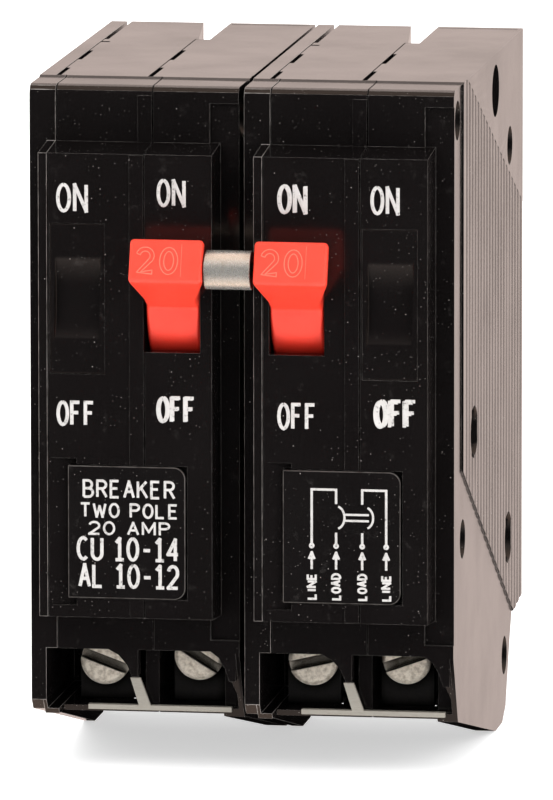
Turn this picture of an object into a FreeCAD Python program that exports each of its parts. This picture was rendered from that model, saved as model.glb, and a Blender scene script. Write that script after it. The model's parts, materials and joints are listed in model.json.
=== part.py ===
import FreeCAD, Part
import math
import os
import re

import Sketcher

# Two-pole plug-on circuit breaker in the "quad" format: two duplex modules side by side.
#
# Frame: X across the breaker, the handles face -Y, +Z points up (the ON direction).
# The origin is the middle of the bounding box at its lowest level.
#
# Every module is drawn in its own coordinates: x from its left side, y from the front
# shoulder backwards, z up from the lowest point. A sub-part's Placement moves it from there
# to its place in the breaker.

os.makedirs("parts", exist_ok=True)
doc = FreeCAD.newDocument("quad_breaker")
V = FreeCAD.Vector

# ---------------------------------------------------------------------------------------
# Driving dimensions, millimetres and degrees
# ---------------------------------------------------------------------------------------
DIMENSIONS = [
    # case envelope
    ("module_width", 25.2, "width of one duplex module"),
    ("module_gap", 0.4, "gap between the two modules"),
    ("case_depth", 60.0, "front shoulder to back face"),
    ("shoulder_y", -22.9, "front shoulder in the breaker's frame"),
    ("front_top_z", 82.8, "top face at its front strip"),
    ("case_top_z", 83.0, "top face behind the strip"),
    ("strip_depth", 7.0, "depth of the lower front strip of the top face"),
    ("kink_z", 15.3, "height where the front edge starts to lean back"),
    ("toe_y", 4.1, "front bottom edge"),
    ("toe_z", 7.0, "front bottom edge"),
    ("foot_front_y", 37.6, "front end of the foot's sole"),
    ("foot_back_y", 43.7, "back end of the foot's sole"),
    ("heel_y", 46.7, "heel of the foot"),
    ("heel_z", 1.5, "heel of the foot"),
    ("ramp_y", 50.5, "top of the ramp behind the foot"),
    ("ramp_z", 9.5, "top of the ramp behind the foot"),
    ("rail_gap_z", 13.2, "bottom of the case above the panel's rail"),
    ("level_z", 7.3, "level part of the bottom"),
    ("cover_toe_z", 9.2, "bottom of the left cover's front"),
    ("cover_sole_x", 1.4, "thickness of the left cover at the foot"),
    # raised front
    ("nose_y", -6.5, "front of the raised part"),
    ("nose_low_z", 19.75, "bottom of the raised part"),
    ("nose_high_z", 76.15, "top of the raised part"),
    ("nose_slope", 0.6, "fall of its top and bottom walls"),
    ("nose_left_x", 2.1, "left edge of the raised part"),
    ("nose_right_x", 22.74, "right edge of the raised part"),
    ("strip_recess", 0.5, "depth of the recess to the right of the raised part"),
    ("recess_x", 21.5, "left edge of that recess above and below the raised part"),
    ("band_x", 12.95, "left edge of the raised band along the partition"),
    ("band_proud", 0.18, "height of that band"),
    # how the case is split
    ("cover_x", 3.2, "left cover to centre tray"),
    ("split_x", 14.7, "centre tray to right tray"),
    ("seam", 0.15, "open seam between two mouldings"),
    ("cover_wall", 1.8, "wall of the left cover"),
    ("partition", 1.6, "wall between the bays"),
    ("side_wall", 2.7, "outer wall of the right tray"),
    ("side_relief", 0.25, "height of the ribs and the panel on the side"),
    ("cover_tongue_x", 2.1, "left edge of the centre tray's top, over the left cover"),
    ("tray_tongue_x", 13.1, "left edge of the right tray's top, over the partition"),
    ("tongue_thick", 1.5, "thickness of those overlaps"),
    ("tongue_gap", 0.15, "gap beside and below them"),
    # hollows of the trays
    ("bay_front_y", 1.8, "inner front face"),
    ("bay_nose_y", -4.6, "inner front face behind the raised part"),
    ("bay_back_y", 49.5, "inner back face, upper part"),
    ("bay_deep_y", 57.8, "inner back face, lower part"),
    ("bay_step_z", 46.0, "height where the bay gets deeper"),
    ("shelf_low_z", 22.6, "underside of the shelf over the terminals"),
    ("shelf_z", 24.6, "top of that shelf"),
    ("bay_top_z", 80.4, "inner top face"),
    ("mouth_top_z", 15.45, "top of a terminal mouth"),
    ("mouth_corner", 2.2, "rounded corner of a terminal mouth, front to back"),
    ("mouth_y", 2.4, "back of the wall over a terminal mouth"),
    ("floor_z", 8.0, "inner floor of a terminal pocket"),
    ("pocket_back_y", 20.0, "inner back face of a terminal pocket"),
    ("divider_y", 4.6, "front of the partition between the terminals"),
    ("liner_y", 3.3, "front of the insulating liner"),
    ("liner_thick", 0.9, "insulating liner, front to back"),
    ("liner_low_z", 7.62, "bottom edge of the liner"),
    ("liner_high_z", 8.2, "top edge of the liner's strip"),
    ("liner_left_x", 6.3, "left end of the liner's strip"),
    ("liner_right_x", 23.5, "right end of the liner's strip"),
    ("wire_low_y", 9.0, "front of a wire entry"),
    ("wire_high_y", 13.3, "back of a wire entry"),
    ("wire_half", 3.2, "half width of a wire entry"),
    # handles
    ("pivot_y", 2.4, "handle pivot"),
    ("pivot_z", 58.3, "handle pivot"),
    ("hub_radius", 9.0, "handle hub"),
    ("handle_width", 6.35, "handle hub and neck"),
    ("handle_tilt", 20.0, "tilt of the handle at ON"),
    ("left_handle_x", 18.1, "middle of the handle in the left module"),
    ("right_handle_x", 7.22, "middle of the handle in the right module"),
    ("tip_reach", 16.75, "pivot to the face of the paddle"),
    ("tip_half", 2.6, "half height of the paddle's face"),
    ("neck_low", 3.7, "underside of the neck below the handle's middle, at the hub"),
    ("neck_reach", 8.7, "pivot to the ledge under the neck"),
    ("paddle_root", 10.2, "pivot to the start of the flare"),
    ("paddle_shoulder", 15.7, "pivot to the end of the flare"),
    ("paddle_left", 4.1, "paddle to the left of the middle"),
    ("paddle_right", 4.6, "paddle to the right of the middle"),
    ("slot_play", 0.1, "play at each side of a handle"),
    ("slot_low_z", 52.1, "bottom of a handle slot"),
    ("slot_high_z", 64.9, "top of a handle slot"),
    ("tie_reach", 14.25, "pivot to the tie pin, along the handle"),
    ("tie_drop", 0.45, "tie pin below the handle's middle"),
    ("tie_pin_radius", 0.85, "tie pin"),
    ("tie_pin_depth", 4.0, "tie pin inside each paddle"),
    ("sleeve_radius", 2.3, "tie sleeve"),
    ("sleeve_play", 0.06, "radial play of the sleeve on its pin"),
    ("sleeve_length", 5.5, "tie sleeve"),
    # blanked handle positions and labels
    ("blank_low_z", 49.4, "bottom of a blanked slot"),
    ("blank_high_z", 67.2, "top of a blanked slot"),
    ("blank_half", 3.22, "half width of a blanked slot"),
    ("left_blank_x", 6.72, "middle of the blanked slot in the left module"),
    ("right_blank_x", 18.27, "middle of the blanked slot in the right module"),
    ("blank_depth", 3.2, "depth of a filler block"),
    ("blank_hollow", 12.0, "radius of the hollow in its face"),
    ("label_left_x", 5.6, "label plate, left edge"),
    ("label_right_x", 19.6, "label plate, right edge"),
    ("label_low_z", 22.7, "label plate, bottom edge"),
    ("label_high_z", 38.5, "label plate, top edge"),
    ("label_proud", 0.3, "label plate in front of the raised front"),
    ("label_sunk", 1.0, "label plate inside the raised front"),
    ("label_corner", 1.4, "label plate, right corners"),
    ("label_play", 0.2, "play around inserts"),
    ("flank_x", 3.6, "outer edge of the slope left of the label"),
    # rivets
    ("rivet_radius", 1.6, "rivet shank"),
    ("rivet_play", 0.05, "play around a shank"),
    ("boss_radius", 2.7, "boss around a rivet"),
    ("wide_recess", 3.15, "wide rivet recess"),
    ("narrow_recess", 2.35, "narrow rivet recess"),
    ("recess_depth", 1.4, "depth of both recesses"),
    ("wide_head", 2.7, "head in a wide recess"),
    ("narrow_head", 2.1, "head in a narrow recess"),
    ("head_thick", 0.4, "rivet head"),
    # contacts
    ("arm_y", 17.0, "pivot of the contact arm"),
    ("arm_z", 50.0, "pivot of the contact arm"),
    ("arm_half", 1.1, "half width of the contact arm"),
    ("arm_hub", 2.6, "hub of the contact arm"),
    ("arm_top_z", 60.0, "top of the contact arm's pad"),
    ("contact_y", 38.0, "middle of the contacts"),
    ("contact_radius", 1.8, "contact buttons"),
    ("contact_thick", 1.3, "contact buttons"),
    ("contact_gap", 0.02, "left between the closed contacts"),
    ("shaft_radius", 1.2, "pivot shafts of handle and arm"),
    ("cradle_shaft", 1.0, "pivot shaft of the cradle"),
    ("bearing_play", 0.06, "radial play in a bearing"),
    ("shaft_in_wall", 0.9, "end of a shaft inside the wall"),
    ("strap_thick", 1.2, "copper straps"),
    ("strap_half", 2.5, "half width of the copper straps"),
    ("link_y", 46.5, "front of the line link"),
    # trip unit
    ("trip_y", 30.0, "trip bar"),
    ("trip_z", 30.0, "trip bar"),
    ("trip_radius", 1.5, "trip bar"),
    ("armature_half", 2.9, "half width of armature and yoke"),
    ("armature_top_z", 42.4, "top of the armature"),
    ("cradle_y", 13.0, "pivot of the cradle"),
    ("cradle_z", 44.0, "pivot of the cradle"),
    ("bimetal_y", 38.0, "front of the bimetal"),
    ("bimetal_top_z", 46.0, "top of the bimetal"),
    ("bimetal_half", 2.3, "half width of the bimetal"),
    ("yoke_y", 33.2, "tips of the yoke's legs"),
    ("chute_y", 42.9, "front of the arc chute"),
    # terminals
    ("left_line_x", 7.9, "line terminal of the left module"),
    ("left_line_z", 13.1, "line terminal of the left module"),
    ("left_load_x", 19.2, "load terminal of the left module"),
    ("left_load_z", 13.9, "load terminal of the left module"),
    ("right_load_x", 7.3, "load terminal of the right module"),
    ("right_load_z", 13.6, "load terminal of the right module"),
    ("right_line_x", 18.5, "line terminal of the right module"),
    ("right_line_z", 14.0, "line terminal of the right module"),
    ("screw_face_y", 5.5, "face of a terminal screw"),
    ("screw_head", 2.95, "terminal screw head radius"),
    ("screw_head_thick", 2.0, "terminal screw head"),
    ("screw_shank", 2.0, "terminal screw shank radius"),
    ("screw_length", 10.5, "terminal screw shank"),
    ("screw_slot", 1.2, "terminal screw slot width"),
    ("screw_slot_deep", 1.1, "terminal screw slot depth"),
    ("thread_play", 0.05, "radial play of the threads"),
    ("clamp_half", 3.2, "half width of the clamp plate"),
    ("clamp_thick", 1.3, "clamp plate"),
    ("plate_y", 13.4, "front of the threaded plate"),
    ("plate_thick", 1.6, "threaded plate"),
    ("plate_half", 2.6, "half width of the threaded plate"),
    ("tail_end_y", 40.0, "end of the terminal strap"),
    # back
    ("notch_front_x", 13.4, "left edge of the notch in the top, front end"),
    ("notch_back_x", 11.3, "left edge of the notch in the top, back end"),
    ("stab_x", 11.3, "left wall of the stab slot"),
    ("stab_y", 50.5, "front wall of the stab slot"),
    ("stab_low_z", 52.0, "bottom of the stab slot"),
    ("notch_y", 43.5, "front end of the notch in the top"),
    ("notch_z", 80.8, "bottom of the notch in the top"),
    ("rear_groove_y", 58.5, "groove near the back edge of the top"),
    ("jaw_thick", 0.7, "leaves of the stab clip"),
]

sheet = doc.addObject("Spreadsheet::Sheet", "dims")
for row, (alias, size, meaning) in enumerate(DIMENSIONS, start=1):
    sheet.set("A%d" % row, meaning)
    sheet.set("B%d" % row, str(size))
    sheet.setAlias("B%d" % row, alias)
doc.recompute()

ALIASES = {alias for alias, _, _ in DIMENSIONS}
WORD = re.compile("[a-z][a-z_]*")


def bound(text):
    """An expression with every alias spelt as dims.alias."""

    def name(word):
        return "dims." + word.group(0) if word.group(0) in ALIASES else word.group(0)

    return WORD.sub(name, str(text))


def size_of(text):
    """The value of an expression."""
    return float(sheet.evalExpression(bound(text)))


# ---------------------------------------------------------------------------------------
# Builders for bound primitives
# ---------------------------------------------------------------------------------------
def box(x, y, z):
    """Box between pairs of bound coordinates."""
    block = doc.addObject("Part::Box", "block")
    for side, corner, (low, high) in zip(("Length", "Width", "Height"), "xyz", (x, y, z)):
        block.setExpression(side, bound("(%s) - (%s)" % (high, low)))
        block.setExpression("Placement.Base." + corner, bound(low))
    return block


TURN = {
    "x": FreeCAD.Rotation(V(0, 1, 0), 90),
    "y": FreeCAD.Rotation(V(1, 0, 0), -90),
    "z": FreeCAD.Rotation(),
}


def rod(axis, x, y, z, radius):
    """Cylinder along an axis: the pair of coordinates on that axis is its length."""
    ends = {"x": x, "y": y, "z": z}
    low, high = ends[axis]
    ends[axis] = low
    cylinder = doc.addObject("Part::Cylinder", "rod")
    cylinder.Placement = FreeCAD.Placement(V(), TURN[axis])
    cylinder.setExpression("Radius", bound(radius))
    cylinder.setExpression("Height", bound("(%s) - (%s)" % (high, low)))
    for corner, where in ends.items():
        cylinder.setExpression("Placement.Base." + corner, bound(where))
    return cylinder


SKETCH_TURN = {
    "x": FreeCAD.Rotation(V(0, 1, 0), V(0, 0, 1), V(1, 0, 0), "ZXY"),
    "y": FreeCAD.Rotation(V(1, 0, 0), V(0, 0, 1), V(0, -1, 0), "ZXY"),
    "z": FreeCAD.Rotation(),
}


def draw(sketch, points):
    """Closed outline of bound points in a sketch."""
    places = [V(size_of(across), size_of(up), 0) for across, up in points]
    for index, place in enumerate(places):
        sketch.addGeometry(Part.LineSegment(place, places[(index + 1) % len(places)]), False)
    for index, (across, up) in enumerate(points):
        sketch.addConstraint(Sketcher.Constraint("Coincident", index, 2, (index + 1) % len(points), 1))
        place = places[index]
        for kind, where, number in (("DistanceX", across, place.x), ("DistanceY", up, place.y)):
            name = sketch.addConstraint(Sketcher.Constraint(kind, -1, 1, index, 1, number))
            sketch.setExpression("Constraints[%d]" % name, bound(where))


def prism(axis, low, high, points):
    """Outline in the plane across an axis, drawn out from low to high along it."""
    sketch = doc.addObject("Sketcher::SketchObject", "outline")
    sketch.Placement = FreeCAD.Placement(V(), SKETCH_TURN[axis])
    draw(sketch, points)
    sketch.setExpression("Placement.Base." + axis, bound(high if axis == "y" else low))
    body = doc.addObject("Part::Extrusion", "prism")
    body.Base = sketch
    body.DirMode = "Normal"
    body.Solid = True
    body.setExpression("LengthFwd", bound("(%s) - (%s)" % (high, low)))
    return body


def fuse(parts):
    """One solid out of several."""
    if len(parts) == 1:
        return parts[0]
    union = doc.addObject("Part::MultiFuse", "union")
    union.Shapes = parts
    union.Refine = True
    return union


def cut(base, tools):
    """A solid less several others."""
    result = doc.addObject("Part::Cut", "cut")
    result.Base = base
    result.Tool = fuse(tools)
    result.Refine = True
    return result


def overlap(first, second):
    """What two solids share."""
    result = doc.addObject("Part::MultiCommon", "common")
    result.Shapes = [first, second]
    return result


def group(parts):
    """Separate solids kept in one node."""
    result = doc.addObject("Part::Compound", "group")
    result.Links = parts
    return result


NODES = []
ORIGINS = {
    "left": ("0 - module_width - module_gap / 2", "shoulder_y"),
    "right": ("module_gap / 2", "shoulder_y"),
    "middle": ("0", "shoulder_y"),
}


def node(label, part, origin):
    """Name a finished sub-part and move it from module coordinates to its place."""
    across, back = ORIGINS[origin]
    placed = group([part])
    placed.Label = label
    placed.setExpression("Placement.Base.x", bound(across))
    placed.setExpression("Placement.Base.y", bound(back))
    NODES.append(placed)


# ---------------------------------------------------------------------------------------
# Case mouldings
# ---------------------------------------------------------------------------------------
SIDE_OUTLINE = [
    ("0", "front_top_z - 1.2"),
    ("0.16", "front_top_z - 0.6"),
    ("0.6", "front_top_z - 0.16"),
    ("1.2", "front_top_z"),
    ("strip_depth", "front_top_z"),
    ("strip_depth + 0.4", "case_top_z"),
    ("case_depth", "case_top_z"),
    ("case_depth", "rail_gap_z"),
    ("ramp_y + 1.7", "rail_gap_z - 0.9"),
    ("ramp_y", "ramp_z"),
    ("heel_y", "heel_z"),
    ("foot_back_y", "0"),
    ("foot_front_y", "0"),
    ("toe_y", "toe_z"),
    ("0", "kink_z"),
]
# The left cover's front is upright and its bottom falls straight to the foot.
COVER_OUTLINE = SIDE_OUTLINE[:13] + [("1.2", "cover_toe_z - 1.3"), ("0", "cover_toe_z")]
# Between the feet the bottom stays level, so that wires can reach it.
LEVEL_OUTLINE = SIDE_OUTLINE[:10] + [("ramp_y - 1.5", "level_z"), ("toe_y", "level_z"), ("0", "kink_z")]
LEVEL_COVER = LEVEL_OUTLINE[:11] + [("1.6", "level_z"), ("0", "cover_toe_z")]
NOSE_OUTLINE = [
    ("1", "nose_high_z"),
    ("0", "nose_high_z"),
    ("nose_y", "nose_high_z - nose_slope"),
    ("nose_y", "nose_low_z + nose_slope"),
    ("0", "nose_low_z"),
    ("1", "nose_low_z"),
]
UPPER_BAY = [
    ("bay_front_y", "bay_top_z"),
    ("bay_back_y", "bay_top_z"),
    ("bay_back_y", "bay_step_z"),
    ("bay_deep_y", "bay_step_z"),
    ("bay_deep_y", "shelf_z + 2"),
    ("ramp_y - 6", "shelf_z"),
    ("bay_nose_y", "shelf_z"),
    ("bay_nose_y", "nose_high_z - 2.4"),
    ("bay_front_y", "nose_high_z - 2.4"),
]
TERMINAL_BAY = [
    ("-1", "mouth_top_z"),
    ("mouth_y", "mouth_top_z"),
    ("mouth_y", "shelf_low_z"),
    ("pocket_back_y", "shelf_low_z"),
    ("pocket_back_y", "floor_z"),
    ("-1", "floor_z"),
]
DIVIDER_RELIEF = [
    ("-1", "mouth_top_z"),
    ("divider_y", "mouth_top_z"),
    ("divider_y", "floor_z"),
    ("-1", "floor_z"),
]

# Rounded upper right corners of the two terminal mouths of a module.
CENTRE_CORNER = [
    ("8.95", "mouth_top_z + 0.15"),
    ("10.45", "14.8"),
    ("11.5", "13.6"),
    ("12.1", "12.2"),
    ("12.8", "12.2"),
    ("12.8", "mouth_top_z + 0.15"),
]
RIGHT_CORNER = [
    ("21.3", "mouth_top_z + 0.15"),
    ("22.5", "14.7"),
    ("23.3", "13.3"),
    ("23.75", "11.9"),
    ("24.5", "11.9"),
    ("24.5", "mouth_top_z + 0.15"),
]
# Rivets: backwards, up, and whether the rivet goes through both modules in a wide recess.
RIVETS = [
    ("34.9", "front_top_z - 4.3", True),
    ("16.2", "front_top_z - 42.8", True),
    ("47", "front_top_z - 60.5", True),
    ("3.1", "front_top_z - 3.8", False),
    ("47.9", "front_top_z - 12.6", False),
    ("7.8", "front_top_z - 54.4", False),
    ("45.4", "front_top_z - 74.8", False),
]

MODULES = {
    "left": {
        "handle": "left_handle_x",
        "blank": "left_blank_x",
        "switching": "right_tray",
        "low_wall": "split_x - seam / 2",
        "high_wall": "module_width - side_wall",
        "line": ("left_line_x", "left_line_z"),
        "load": ("left_load_x", "left_load_z"),
        "left_terminal": "left_line_x",
        "right_terminal": "left_load_x",
        "link": "8.1",
    },
    "right": {
        "handle": "right_handle_x",
        "blank": "right_blank_x",
        "switching": "centre_tray",
        "low_wall": "cover_wall",
        "high_wall": "split_x - seam / 2 - partition",
        "line": ("right_line_x", "right_line_z"),
        "load": ("right_load_x", "right_load_z"),
        "left_terminal": "right_load_x",
        "right_terminal": "right_line_x",
        "link": "18.6",
    },
}


def foot_boss(low, high):
    """Boss around the lowest rivet where the bottom is level."""
    y, z, _ = RIVETS[-1]
    return rod("x", (low, high), y, z, "boss_radius")


def rivet_holes(low, high):
    """Holes for all rivet shanks between two coordinates across."""
    return [rod("x", (low, high), y, z, "rivet_radius + rivet_play") for y, z, _ in RIVETS]


def rivet_recesses(low, high):
    """Recesses for the rivet heads between two coordinates across."""
    return [rod("x", (low, high), y, z, "wide_recess" if wide else "narrow_recess") for y, z, wide in RIVETS]


def bays(low, high):
    """Hollows of a moulding between two coordinates across, less the rivet bosses."""
    bosses = [rod("x", (low, high), y, z, "boss_radius") for y, z, _ in RIVETS]
    return cut(fuse([prism("x", low, high, UPPER_BAY), prism("x", low, high, TERMINAL_BAY)]), bosses)


def sockets(module, tray):
    """Blind bearings of handle, arm and cradle that fall in one moulding of a module."""
    place = MODULES[module]
    low = ("(%s) - 1" % place["low_wall"], place["low_wall"])
    high = (place["high_wall"], "(%s) + 1" % place["high_wall"])
    walls = {
        ("left", "centre_tray"): [low],
        ("left", "right_tray"): [high],
        ("right", "left_cover"): [low],
        ("right", "centre_tray"): [high],
    }.get((module, tray), [])
    bearings = [
        ("pivot_y", "pivot_z", "shaft_radius + bearing_play"),
        ("arm_y", "arm_z", "shaft_radius + bearing_play"),
        ("cradle_y", "cradle_z", "cradle_shaft + bearing_play"),
    ]
    return [rod("x", wall, y, z, radius) for wall in walls for y, z, radius in bearings]


def front_openings(module, tray):
    """Handle slot, blanked slot, label seat and the slope beside it."""
    place = MODULES[module]
    middle, blank = place["handle"], place["blank"]
    tools = []
    if tray == place["switching"]:
        slot_low = "%s - handle_width / 2 - slot_play" % middle
        slot_high = "%s + handle_width / 2 + slot_play" % middle
        if tray == "right_tray":
            slot_low = "split_x - 1"
        through = ("nose_y - 1", "bay_front_y + 1")
        tools.append(box((slot_low, slot_high), through, ("slot_low_z", "slot_high_z")))
    elif tray != "left_cover":
        play = "label_play / 4"
        across = ("%s - blank_half - %s" % (blank, play), "%s + blank_half + %s" % (blank, play))
        up = ("blank_low_z - " + play, "blank_high_z + " + play)
        tools.append(box(across, ("nose_y - 1", "nose_y + blank_depth"), up))
    label_x = ("label_left_x - label_play / 4", "label_right_x + label_play")
    label_z = ("label_low_z - label_play / 2", "label_high_z + label_play / 2")
    tools.append(box(label_x, ("nose_y - 1", "nose_y + label_sunk"), label_z))
    slope = [
        ("flank_x", "nose_y"),
        ("label_left_x + 1", "nose_y + label_sunk"),
        ("label_left_x + 1", "nose_y - 1"),
    ]
    tools.append(prism("z", "label_low_z - 1", "label_high_z + 0.8", slope + [("flank_x", "nose_y - 1")]))
    return tools


def wire_entry(middle):
    """Opening in the bottom under one terminal."""
    across = ("%s - wire_half" % middle, "%s + wire_half" % middle)
    return box(across, ("wire_low_y", "wire_high_y"), ("-1", "floor_z + 1"))


def strap_window(middle):
    """Slot in the shelf for a terminal's threaded plate."""
    across = ("%s - plate_half - 0.1" % middle, "%s + plate_half + 0.1" % middle)
    return box(across, ("plate_y - 0.1", "plate_y + plate_thick + 0.1"), ("shelf_low_z - 1", "shelf_z + 1"))


def trip_bar_hole(low, high):
    """Bearing of the trip bar in a wall."""
    return rod("x", (low, high), "trip_y", "trip_z", "trip_radius + bearing_play")


def top_overlap(left, y_end, play):
    """Part of the top that reaches over the neighbour on its left, or the room for it."""
    low = "tongue_thick + tongue_gap" if play else "tongue_thick"
    high = "case_top_z + 1" if play else "case_top_z"
    start = "strip_depth + 0.5" if play else "strip_depth + 0.65"
    edge = left + " - tongue_gap" if play else left
    right = {"cover_tongue_x": "cover_x + 0.5", "tray_tongue_x": "split_x + 0.5"}[left]
    return box((edge, right), (start, y_end), ("case_top_z - (%s)" % low, high))


def seam_gaps(edge, spans):
    """Wider stretches of a seam in the top."""
    up = ("case_top_z - 1.3", "case_top_z + 1")
    return [box((edge + " - 0.45", edge + " + 0.45"), span, up) for span in spans]


def left_cover(module):
    """Thin moulding that closes the left side of a module."""
    inner = "cover_x - seam / 2"
    plate = fuse([
        prism("x", "0", "cover_sole_x", COVER_OUTLINE),
        prism("x", "cover_sole_x", inner, LEVEL_COVER),
        prism("x", "nose_left_x", inner, NOSE_OUTLINE),
        foot_boss("cover_sole_x", inner),
    ])
    tools = [bays("cover_wall", "cover_x + 1"), top_overlap("cover_tongue_x", "case_depth + 1", True)]
    tools += rivet_holes("-1", "cover_x + 1") + rivet_recesses("-1", "recess_depth")
    tools += sockets(module, "left_cover")
    if module == "right":
        tools.append(trip_bar_hole("-1", "cover_x"))
    tall = ("shelf_z - 0.2", "nose_high_z - 2.2")
    nose_side = box(("nose_left_x", "nose_left_x + 0.4"), ("bay_nose_y - 0.2", "0.2"), tall)
    corner = box(("cover_wall - 0.2", "nose_left_x + 0.4"), ("0", "0.2"), tall)
    return fuse([cut(plate, tools), nose_side, corner])


def centre_tray(module):
    """Moulding with the left bay and the partition between the bays."""
    low, high = "cover_x + seam / 2", "split_x - seam / 2"
    block = fuse([
        prism("x", low, high, LEVEL_OUTLINE),
        prism("x", low, high, NOSE_OUTLINE),
        foot_boss(low, high),
        top_overlap("cover_tongue_x", "case_depth", False),
        box(("band_x", high), ("0 - band_proud", "1"), ("nose_high_z", "front_top_z - 1.1")),
        box(("band_x", high), ("nose_y - band_proud", "0"), ("nose_low_z + 0.7", "nose_high_z - 0.7")),
    ])
    tools = [bays("cover_x - 1", high + " - partition")]
    tools += rivet_holes("cover_x - 1", "split_x + 1")
    tools += sockets(module, "centre_tray") + front_openings(module, "centre_tray")
    terminal = MODULES[module]["left_terminal"]
    tools += [wire_entry(terminal), strap_window(terminal), liner_seat()]
    through = (high + " - partition - 1", "split_x + 1")
    tools.append(prism("x", through[0], through[1], DIVIDER_RELIEF))
    # window for the strap between the fixed contact and the line link
    tools.append(box(through, ("42.3", "46.7"), (STRAP_LOW + " - 0.2", STRAP_HIGH + " + 0.2")))
    # notch in the top, and the slot for the bus stab below it
    notch = [
        ("notch_front_x", "notch_y"),
        ("split_x + 1", "notch_y"),
        ("split_x + 1", "case_depth + 1"),
        ("notch_back_x", "case_depth + 1"),
    ]
    tools.append(prism("z", "notch_z", "case_top_z + 1", notch))
    behind = ("stab_y", "case_depth + 1")
    tools.append(box(("stab_x", "split_x + 1"), behind, ("stab_low_z", "notch_z + 0.01")))
    tools.append(top_overlap("tray_tongue_x", "notch_y + 0.1", True))
    spans = [("strip_depth", "14.4"), ("22.4", "31"), ("42.2", "case_depth + 1")]
    tools += seam_gaps("cover_tongue_x", spans)
    jog = ("cover_tongue_x - 1", "cover_tongue_x + 1")
    tools.append(box(jog, ("39.3", "40.2"), ("case_top_z - 1.3", "case_top_z + 1")))
    return fuse([cut(block, tools), prism("y", "0", "mouth_corner", CENTRE_CORNER)])


def liner_seat():
    """Rebate for the insulating liner in the front of the terminal pockets' floor."""
    across = ("liner_left_x - 0.1", "liner_right_x + 0.1")
    return box(across, ("-1", "liner_y + liner_thick + 0.1"), ("liner_low_z - 0.02", "floor_z + 0.5"))


def liner():
    """Strip along the mouths of both terminals with a slanted flap between them."""
    across = ("liner_left_x", "liner_right_x")
    strip = box(across, ("liner_y", "liner_y + liner_thick"), ("liner_low_z", "liner_high_z"))
    flap = prism("y", "liner_y", "liner_y + 0.5", [
        ("12.4", "liner_high_z - 0.1"),
        ("13.8", "liner_high_z - 0.1"),
        ("12.55", "liner_high_z + 3.3"),
        ("11.35", "liner_high_z + 3.3"),
    ])
    return fuse([strip, flap])


def side_relief(outer):
    """What is taken off the outer side so that the panel and its ribs stand proud."""
    base = outer + " - side_relief"
    skin = [
        ("-10", "-10"),
        ("case_depth + 10", "-10"),
        ("case_depth + 10", "case_top_z + 10"),
        ("-10", "case_top_z + 10"),
    ]
    front_line = ("strip_depth - 0.2", "case_top_z + 1")
    panel = [
        front_line,
        ("case_depth + 1", "case_top_z + 1"),
        ("case_depth + 1", "front_top_z - 75.1"),
        ("strip_depth - 0.2", "front_top_z - 46.2"),
    ]
    upper = [
        ("strip_depth + 1.1", "case_top_z + 1"),
        ("case_depth + 1", "case_top_z + 1"),
        ("case_depth + 1", "front_top_z - 21.5"),
    ]
    ribbed = fuse([rib_groove(outer, index) for index in range(21)])
    return [
        cut(prism("x", base, outer + " + 1", skin), [prism("x", base + " - 1", outer + " + 2", panel)]),
        cut(ribbed, [prism("x", base + " - 1", outer + " + 2", upper)]),
    ]


def rib_groove(outer, index):
    """V groove between two ribs of the outer side."""
    middle = "strip_depth + 2.4 + %d * 2.55" % index
    points = [
        (outer + " - side_relief / 2", middle),
        (outer + " + 0.05", middle + " - 0.95"),
        (outer + " + 0.05", middle + " + 0.95"),
    ]
    top = "case_top_z + 1"
    low = "front_top_z - 46.2 - 0.557 * ((%s) - strip_depth)" % middle
    return prism("z", low, top, points)


def right_tray(module):
    """Moulding with the right bay and the ribbed outer side."""
    low, outer = "split_x + seam / 2", "module_width"
    floor = "module_width - side_wall"
    block = fuse([
        prism("x", low, floor, LEVEL_OUTLINE),
        prism("x", floor, outer, SIDE_OUTLINE),
        prism("x", low, "nose_right_x", NOSE_OUTLINE),
        foot_boss(low, floor),
        top_overlap("tray_tongue_x", "notch_y - 0.1", False),
    ])
    tools = [bays("split_x - 1", floor)]
    tools += rivet_holes("split_x - 1", "module_width + 1")
    tools += rivet_recesses("module_width - recess_depth", "module_width + 1")
    tools += sockets(module, "right_tray") + front_openings(module, "right_tray")
    terminal = MODULES[module]["right_terminal"]
    tools += [wire_entry(terminal), strap_window(terminal), liner_seat()]
    # the outer wall thins towards the bottom beside the terminal's mouth
    tools.append(prism("y", "-1", "5", [
        (floor + " - 1", "mouth_top_z"),
        (floor, "mouth_top_z"),
        ("module_width - 0.85", "mouth_top_z - 5.6"),
        ("module_width - 0.85", "floor_z"),
        (floor + " - 1", "floor_z"),
    ]))
    recess = [
        ("recess_x", "front_top_z - 1.9"),
        ("module_width + 1", "front_top_z - 1.9"),
        ("module_width + 1", "kink_z + 1.5"),
        ("recess_x", "kink_z + 1.5"),
        ("recess_x", "nose_low_z"),
        ("nose_right_x", "nose_low_z"),
        ("nose_right_x", "nose_high_z"),
        ("recess_x", "nose_high_z"),
    ]
    tools.append(prism("y", "-1", "strip_recess", recess))
    tools += seam_gaps("tray_tongue_x", [("strip_depth", "16"), ("23.3", "32.7")])
    groove_z = ("case_top_z - 0.35", "case_top_z + 1")
    tools.append(box((low + " + 0.3", outer + " - 0.5"), ("rear_groove_y", "rear_groove_y + 0.35"), groove_z))
    if module == "left":
        tools.append(trip_bar_hole("split_x", "module_width + 1"))
    return fuse([cut(block, tools + side_relief(outer)), prism("y", "0", "mouth_corner", RIGHT_CORNER)])


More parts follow.
